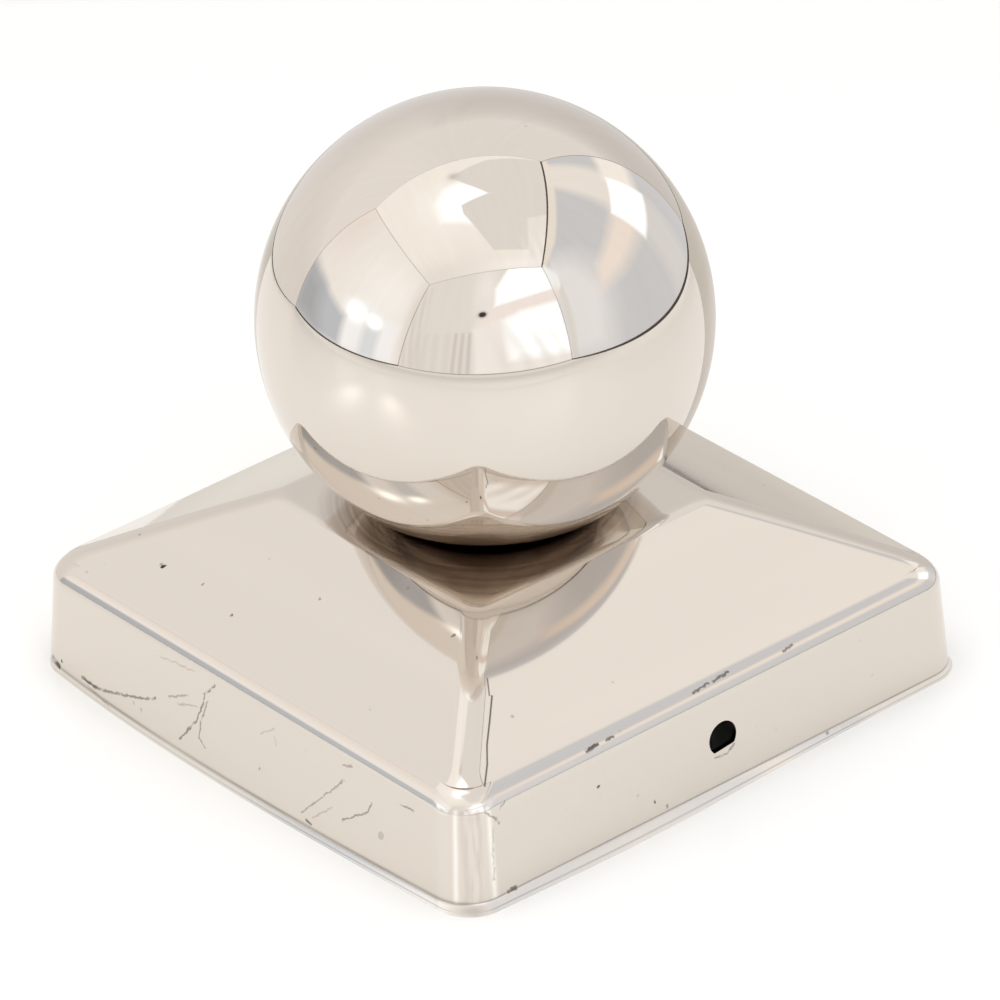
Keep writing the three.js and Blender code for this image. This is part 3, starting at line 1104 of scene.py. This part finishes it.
# Painted shade round the ball's seat on the flat top: the radii of its black and its brown, and the brown.
SEAT_SHADE_BLACK_RADIUS = 16.3
SEAT_SHADE_BROWN_RADIUS = 20.6
SEAT_SHADE_BROWN = (0.17, 0.12, 0.085, 1.0)
STREAK_BROWN = (0.45, 0.36, 0.30, 1.0)
FINE_GRAIN = 1300.0
SMALL_GRAIN = 900.0
PATCHES = 45.0
PIT_CELLS = 260.0
RIPPLES = 140.0
RIPPLE_HEIGHT = 0.000004


def scratches_and_pits(tree, x, y, z, below_eave):
    """The listed marks of the two sides of the skirt, and those of the roof."""
    fine = noise(tree, FINE_GRAIN)
    shake = tree.vector("SUBTRACT", fine.outputs["Color"], (0.5, 0.5, 0.5)).outputs[0]
    shake = tree.vector("MULTIPLY", shake, (FRAYING, FRAYING, 0.0)).outputs[0]
    broken = tree.term(noise(tree, SMALL_GRAIN)).above(0.40, 0.12) * 0.7 + 0.3
    left = marks(tree, frayed(tree, x, z, shake), LEFT_SKIRT_MARKS) * (-y).above(SIDE_OUT, 1.0)
    right = marks(tree, frayed(tree, y, z, shake), RIGHT_SKIRT_MARKS) * x.above(SIDE_OUT, 1.0)
    hip_lines = marks(tree, frayed(tree, x, y, (0.0, 0.0, 0.0)), HIP_LINES)
    roof = marks(tree, frayed(tree, x, y, shake), ROOF_MARKS).math("MAXIMUM", hip_lines)
    return left.math("MAXIMUM", right) * below_eave * broken, roof * z.above(ROOF_FOOT, 0.3)


def fine_pits(tree, x, y, below_eave, where):
    """Dots where the noise is high and far along the right side."""
    speckled = (bell(y, 27.0, 11.0) * x.above(SIDE_OUT, 1.0) * below_eave * 1.6).clamped()
    pitted = (where.above(0.60, 0.10) + speckled).clamped()
    return dots(tree, PIT_CELLS, 0.08, 0.05) * pitted * 0.45


def lip_crease_shade(x, z, where):
    """Painted shade in the crease above the lip, patchy and narrower on the right side, and a thin dark line
    near the edge.
    """
    crease_width = 0.14 + (1.0 - x.above(45.5, 1.0)) * 0.14
    off = (z - LIP_TOP) / crease_width
    crease = (-(off * off)).math("EXPONENT") * (0.20 + where * 0.6)
    return crease.math("MAXIMUM", bell(z, 0.36, 0.07) * 0.30)


def front_corner(tree, x, y, z, upright):
    """Painted highlights in bright upright lines, brown upright streaks and painted shade at the foot. They
    follow the
    turn round the corner: the angle about its middle in degrees, from -90 at the left side to 0 at the right
    side."""
    turn = (y + CORNER_MIDDLE).math("ARCTAN2", x - CORNER_MIDDLE) * (180 / math.pi)
    far_out = (x - y).above(CORNER_OUT, 1.0)
    on_corner = turn.above(-88.0, 6.0) * (1.0 - turn.above(6.0, 6.0)) * upright * far_out
    # Painted highlights: two bright upright lines on the corner's turn.
    bright = (bell(turn, -57.0, 4.0) + bell(turn, -3.0, 4.5)).clamped() * on_corner * 0.75
    brown_streaks = tree.term(noise(tree, SMALL_GRAIN, 3.0, (1.0, 1.0, 0.06))).above(0.52, 0.16)
    brown_streaks = brown_streaks * bell(turn, -28.0, 18.0) * on_corner * 0.45
    # The last value is painted shade at the corner's foot, just above the floor.
    return bright, brown_streaks, bell(z, 0.5, 0.7) * bell(turn, -40.0, 22.0) * far_out * 0.40


def seat_painted_shade(x, y, z, where):
    """Painted shade where the ball meets the flat top: black close to the ball's seat and brown beyond it, in
    rough rings. The brown reaches furthest at the front."""
    radius = (x * x + y * y) ** 0.5 + where * 0.8
    towards_front = x * 0.04 - y * 0.14
    on_top = z.above(PLATEAU_HEIGHT / MM - 0.25, 0.1)
    rings = (radius * 5.2).math("SINE") * 0.5 + (radius * 8.3).math("SINE") * 0.3
    black = (1.0 - (radius + rings * 0.35).above(SEAT_SHADE_BLACK_RADIUS, 1.6)) * on_top
    brown = 1.0 - (radius - towards_front).above(SEAT_SHADE_BROWN_RADIUS, 5.0)
    return black, brown * on_top * (rings * 0.16 + 0.64)


def hood_steel():
    material = bpy.data.materials.new("hood_steel")
    tree = Tree(material)
    x, y, z = place_in_mm(tree)
    inside_skin = tree.term(tree.node("ShaderNodeAttribute", {"attribute_name": "inside"}), 2).above(0.5, 0.1)
    outside_skin = 1.0 - inside_skin
    below_eave = 1.0 - z.above(EAVE_LINE, 0.3)
    lip = 1.0 - z.above(LIP_TOP - 0.05, 0.2)
    where = tree.term(noise(tree, PATCHES))

    scratches, roof_marks = scratches_and_pits(tree, x, y, z, below_eave)
    scratches = scratches * outside_skin
    roof_marks = roof_marks * outside_skin
    bright, brown_streaks, corner_foot_shade = front_corner(tree, x, y, z, below_eave * (1.0 - lip))
    pits = fine_pits(tree, x, y, below_eave, where)
    # Real pits, and painted shade in the lip's crease and at the front corner's foot.
    pits_and_painted_shade = lip_crease_shade(x, z, where).math("MAXIMUM", corner_foot_shade).math("MAXIMUM", pits)
    seat_shade_black, seat_shade_brown = seat_painted_shade(x, y, z, where)

    colour = tree.mix_colours(inside_skin, STEEL, DULL_STEEL)
    # Painted sheen: the lip's steel is made lighter.
    colour = tree.mix_colours(lip * 0.36 * outside_skin, colour, PAINTED_HIGHLIGHT_STEEL)
    # Painted highlights on the front corner.
    colour = tree.mix_colours(bright, colour, PAINTED_HIGHLIGHT_STEEL)
    colour = tree.mix_colours(brown_streaks, colour, STREAK_BROWN)
    colour = tree.mix_colours(pits_and_painted_shade * outside_skin, colour, DIRT_AND_SHADE)
    colour = tree.mix_colours(scratches, colour, SCRATCH)
    colour = tree.mix_colours(roof_marks, colour, SOOT_AND_SHADE)
    # Painted shade round the ball's seat: brown, then black.
    colour = tree.mix_colours(seat_shade_brown, colour, SEAT_SHADE_BROWN)
    colour = tree.mix_colours(seat_shade_black, colour, SOOT_AND_SHADE)

    eave_corner = (x.math("ABSOLUTE") + y.math("ABSOLUTE")).above(CORNER_OUT, 4.0) * bell(z, 17.0, 1.8)
    haze = tree.term(noise(tree, 60.0, 4.0)) * 0.04 + eave_corner * 0.13
    worn = scratches.math("MAXIMUM", roof_marks)
    roughness = haze + 0.03 + lip * 0.22 + inside_skin * 0.28 + worn * 0.35 + seat_shade_brown * 0.10
    ripple = tree.term(noise(tree, RIPPLES, 1.0))
    bump = tree.node("ShaderNodeBump", Strength=0.6, Distance=RIPPLE_HEIGHT, Height=ripple)
    steel = tree.node(
        "ShaderNodeBsdfPrincipled",
        Base_Color=colour,
        Metallic=1.0,
        Roughness=roughness.clamped(),
        Normal=bump.outputs[0],
    )
    tree.node("ShaderNodeOutputMaterial", Surface=steel.outputs[0])
    return material


hood.data.materials.clear()
hood.data.materials.append(hood_steel())
print("hood steel:", len(hood.data.materials[0].node_tree.nodes), "nodes")

# %% [markdown]
# ## Steel of the ball
# The ball is the better mirror of the two. It has a breath of haze, a few specks of dust, and the same black
# painted shade just above its seat.

# %% Ball material
SPECK_CELLS = 150.0


def ball_steel():
    material = bpy.data.materials.new("ball_steel")
    tree = Tree(material)
    z = place_in_mm(tree)[2]
    # Painted shade: black just above the seat, where the ball meets the flat top.
    seat_shade = 1.0 - z.above(PLATEAU_HEIGHT / MM + 0.25, 0.3)
    dusty = tree.term(noise(tree, 40.0)).above(0.62, 0.08)
    dust = dots(tree, SPECK_CELLS, 0.05, 0.03) * dusty * 0.5
    colour = tree.mix_colours(dust, STEEL, DIRT_AND_SHADE)
    colour = tree.mix_colours(seat_shade, colour, SOOT_AND_SHADE)
    haze = tree.term(noise(tree, 50.0, 4.0)) * 0.02
    steel = tree.node(
        "ShaderNodeBsdfPrincipled",
        Base_Color=colour,
        Metallic=1.0,
        Roughness=(haze + 0.015 + dust * 0.3 + seat_shade * 0.2).clamped(),
    )
    tree.node("ShaderNodeOutputMaterial", Surface=steel.outputs[0])
    return material


ball.data.materials.append(ball_steel())
print("ball steel:", len(ball.data.materials[0].node_tree.nodes), "nodes")
